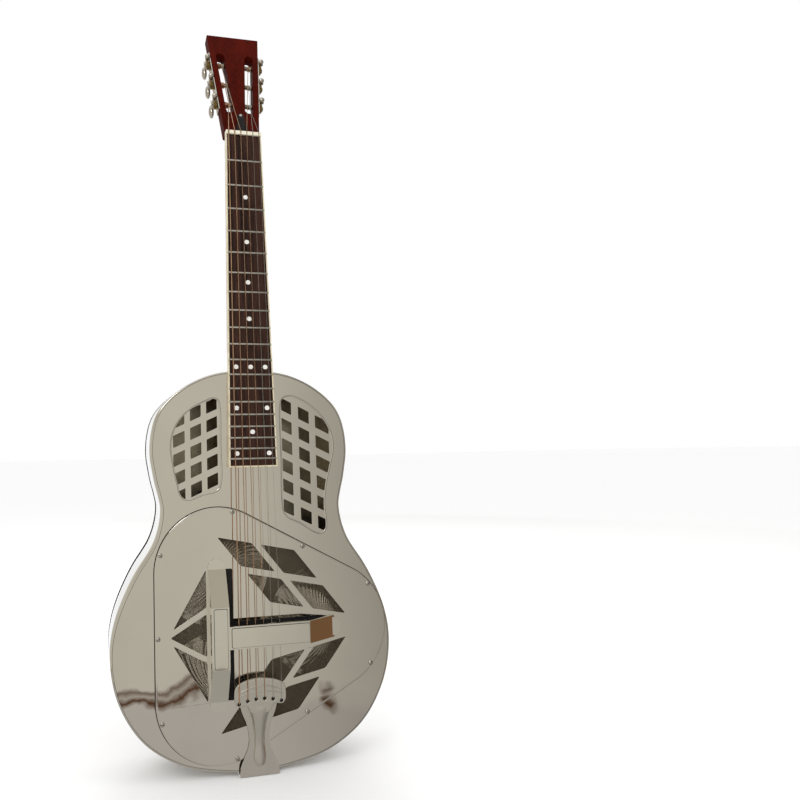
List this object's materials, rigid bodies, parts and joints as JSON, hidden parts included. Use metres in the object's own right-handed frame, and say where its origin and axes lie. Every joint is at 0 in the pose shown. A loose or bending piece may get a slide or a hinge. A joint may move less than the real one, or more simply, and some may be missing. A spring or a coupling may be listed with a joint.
{
  "type": "resonator guitar",
  "caption": "Metal-bodied resonator guitar with a T-shaped bridge cover over spun cones, lattice sound grilles, a slotted headstock and side tuners.",
  "frame": {"origin": "where a wall hanger holds the guitar: on the centre line, inside the neck just above the nut, where the headstock flares out over the arms of the hanger", "axes": "+Z along the neck towards the headstock, -Y out of the front of the guitar, +X towards the treble side"},
  "size_m": [0.3542, 0.107, 0.9725],
  "materials": {
    "body_nickel": "mirror-polished nickel plate on sheet brass",
    "cover_nickel": "mirror-polished nickel plate, pressed sheet",
    "tailpiece_nickel": "polished nickel plate on a cast comb and a sheet strap",
    "well_metal": "plain dull sheet",
    "cone_aluminium": "spun bare aluminium with turning marks",
    "bridge_aluminium": "cast, rubbed smooth",
    "saddle_maple": "bare maple",
    "screen_mesh": "fine woven wire",
    "screw_steel": "bright domed screw heads",
    "neck_mahogany": "red-brown stained mahogany under gloss lacquer",
    "stick_maple": "bare maple",
    "rod_steel": "plain rod",
    "board_rosewood": "oiled dark rosewood with nickel-silver frets and pearl dots",
    "binding_cream": "cream binding, softly polished",
    "black_plastic": "black laminate",
    "string_bronze": "bronze-wound",
    "string_steel": "plain steel wire",
    "tuner_nickel": "polished nickel",
    "gear_brass": "aged brass",
    "post_steel": "satin nickel-plated steel"
  },
  "bodies": {
    "root": {"top_plate": "body_nickel", "side_rim": "body_nickel", "back_plate": "body_nickel", "grille_bass": "cover_nickel", "grille_treble": "cover_nickel", "sound_well": "well_metal", "cone_bass_upper": "cone_aluminium", "cone_bass_lower": "cone_aluminium", "cone_treble": "cone_aluminium", "t_bridge": "bridge_aluminium", "saddle": "saddle_maple", "cover_plate": "cover_nickel", "cover_screen": "screen_mesh", "cover_screw_1": "screw_steel", "cover_screw_2": "screw_steel", "cover_screw_3": "screw_steel", "cover_screw_4": "screw_steel", "cover_screw_5": "screw_steel", "cover_screw_6": "screw_steel", "cover_screw_7": "screw_steel", "cover_screw_8": "screw_steel", "cover_screw_9": "screw_steel", "bridge_cover": "cover_nickel", "tailpiece": "tailpiece_nickel", "tail_strap": "tailpiece_nickel", "neck": "neck_mahogany", "truss_rod": "rod_steel", "neck_stick": "stick_maple", "fretboard": "board_rosewood", "fretboard_binding": "binding_cream", "nut": "binding_cream", "truss_rod_cover": "black_plastic", "truss_cover_screw": "screw_steel", "tuner_plate_bass": "tuner_nickel", "tuner_plate_treble": "tuner_nickel", "string_1": "string_steel", "string_2": "string_steel", "string_3": "string_bronze", "string_4": "string_bronze", "string_5": "string_bronze", "string_6": "string_bronze"},
    "tuner_key_1": {"tuner_key_1": "tuner_nickel"},
    "post_1": {"string_post_1": "post_steel", "tuner_gear_1": "gear_brass"},
    "tuner_key_2": {"tuner_key_2": "tuner_nickel"},
    "post_2": {"string_post_2": "post_steel", "tuner_gear_2": "gear_brass"},
    "tuner_key_3": {"tuner_key_3": "tuner_nickel"},
    "post_3": {"string_post_3": "post_steel", "tuner_gear_3": "gear_brass"},
    "tuner_key_4": {"tuner_key_4": "tuner_nickel"},
    "post_4": {"string_post_4": "post_steel", "tuner_gear_4": "gear_brass"},
    "tuner_key_5": {"tuner_key_5": "tuner_nickel"},
    "post_5": {"string_post_5": "post_steel", "tuner_gear_5": "gear_brass"},
    "tuner_key_6": {"tuner_key_6": "tuner_nickel"},
    "post_6": {"string_post_6": "post_steel", "tuner_gear_6": "gear_brass"}
  },
  "joints": [
    {"name": "tuner_1_turn", "type": "hinge", "parent": "root", "child": "tuner_key_1", "pos_m": [0.03258, 0.00442, 0.04747], "axis": [0, 0.9659, -0.2588], "continuous": true},
    {"name": "post_1_turn", "type": "hinge", "parent": "root", "child": "post_1", "pos_m": [0.02773, 0.00231, 0.0396], "axis": [0.997, -0.0202, -0.0753], "continuous": true},
    {"name": "tuner_2_turn", "type": "hinge", "parent": "root", "child": "tuner_key_2", "pos_m": [0.03528, 0.01332, 0.08069], "axis": [0, 0.9659, -0.2588], "continuous": true},
    {"name": "post_2_turn", "type": "hinge", "parent": "root", "child": "post_2", "pos_m": [0.03043, 0.01121, 0.07282], "axis": [0.997, -0.0202, -0.0753], "continuous": true},
    {"name": "tuner_3_turn", "type": "hinge", "parent": "root", "child": "tuner_key_3", "pos_m": [0.03797, 0.02223, 0.11391], "axis": [0, 0.9659, -0.2588], "continuous": true},
    {"name": "post_3_turn", "type": "hinge", "parent": "root", "child": "post_3", "pos_m": [0.03312, 0.02012, 0.10604], "axis": [0.997, -0.0202, -0.0753], "continuous": true},
    {"name": "tuner_4_turn", "type": "hinge", "parent": "root", "child": "tuner_key_4", "pos_m": [-0.03797, 0.02223, 0.11391], "axis": [0, 0.9659, -0.2588], "continuous": true},
    {"name": "post_4_turn", "type": "hinge", "parent": "root", "child": "post_4", "pos_m": [-0.03312, 0.02012, 0.10604], "axis": [-0.997, -0.0202, -0.0753], "continuous": true},
    {"name": "tuner_5_turn", "type": "hinge", "parent": "root", "child": "tuner_key_5", "pos_m": [-0.03528, 0.01332, 0.08069], "axis": [0, 0.9659, -0.2588], "continuous": true},
    {"name": "post_5_turn", "type": "hinge", "parent": "root", "child": "post_5", "pos_m": [-0.03043, 0.01121, 0.07282], "axis": [-0.997, -0.0202, -0.0753], "continuous": true},
    {"name": "tuner_6_turn", "type": "hinge", "parent": "root", "child": "tuner_key_6", "pos_m": [-0.03258, 0.00442, 0.04747], "axis": [0, 0.9659, -0.2588], "continuous": true},
    {"name": "post_6_turn", "type": "hinge", "parent": "root", "child": "post_6", "pos_m": [-0.02773, 0.00231, 0.0396], "axis": [-0.997, -0.0202, -0.0753], "continuous": true}
  ],
  "couplings": [
    {"joint": "post_1_turn", "follows": "tuner_1_turn", "ratio": 0.071429},
    {"joint": "post_2_turn", "follows": "tuner_2_turn", "ratio": 0.071429},
    {"joint": "post_3_turn", "follows": "tuner_3_turn", "ratio": 0.071429},
    {"joint": "post_4_turn", "follows": "tuner_4_turn", "ratio": 0.071429},
    {"joint": "post_5_turn", "follows": "tuner_5_turn", "ratio": 0.071429},
    {"joint": "post_6_turn", "follows": "tuner_6_turn", "ratio": 0.071429}
  ]
}
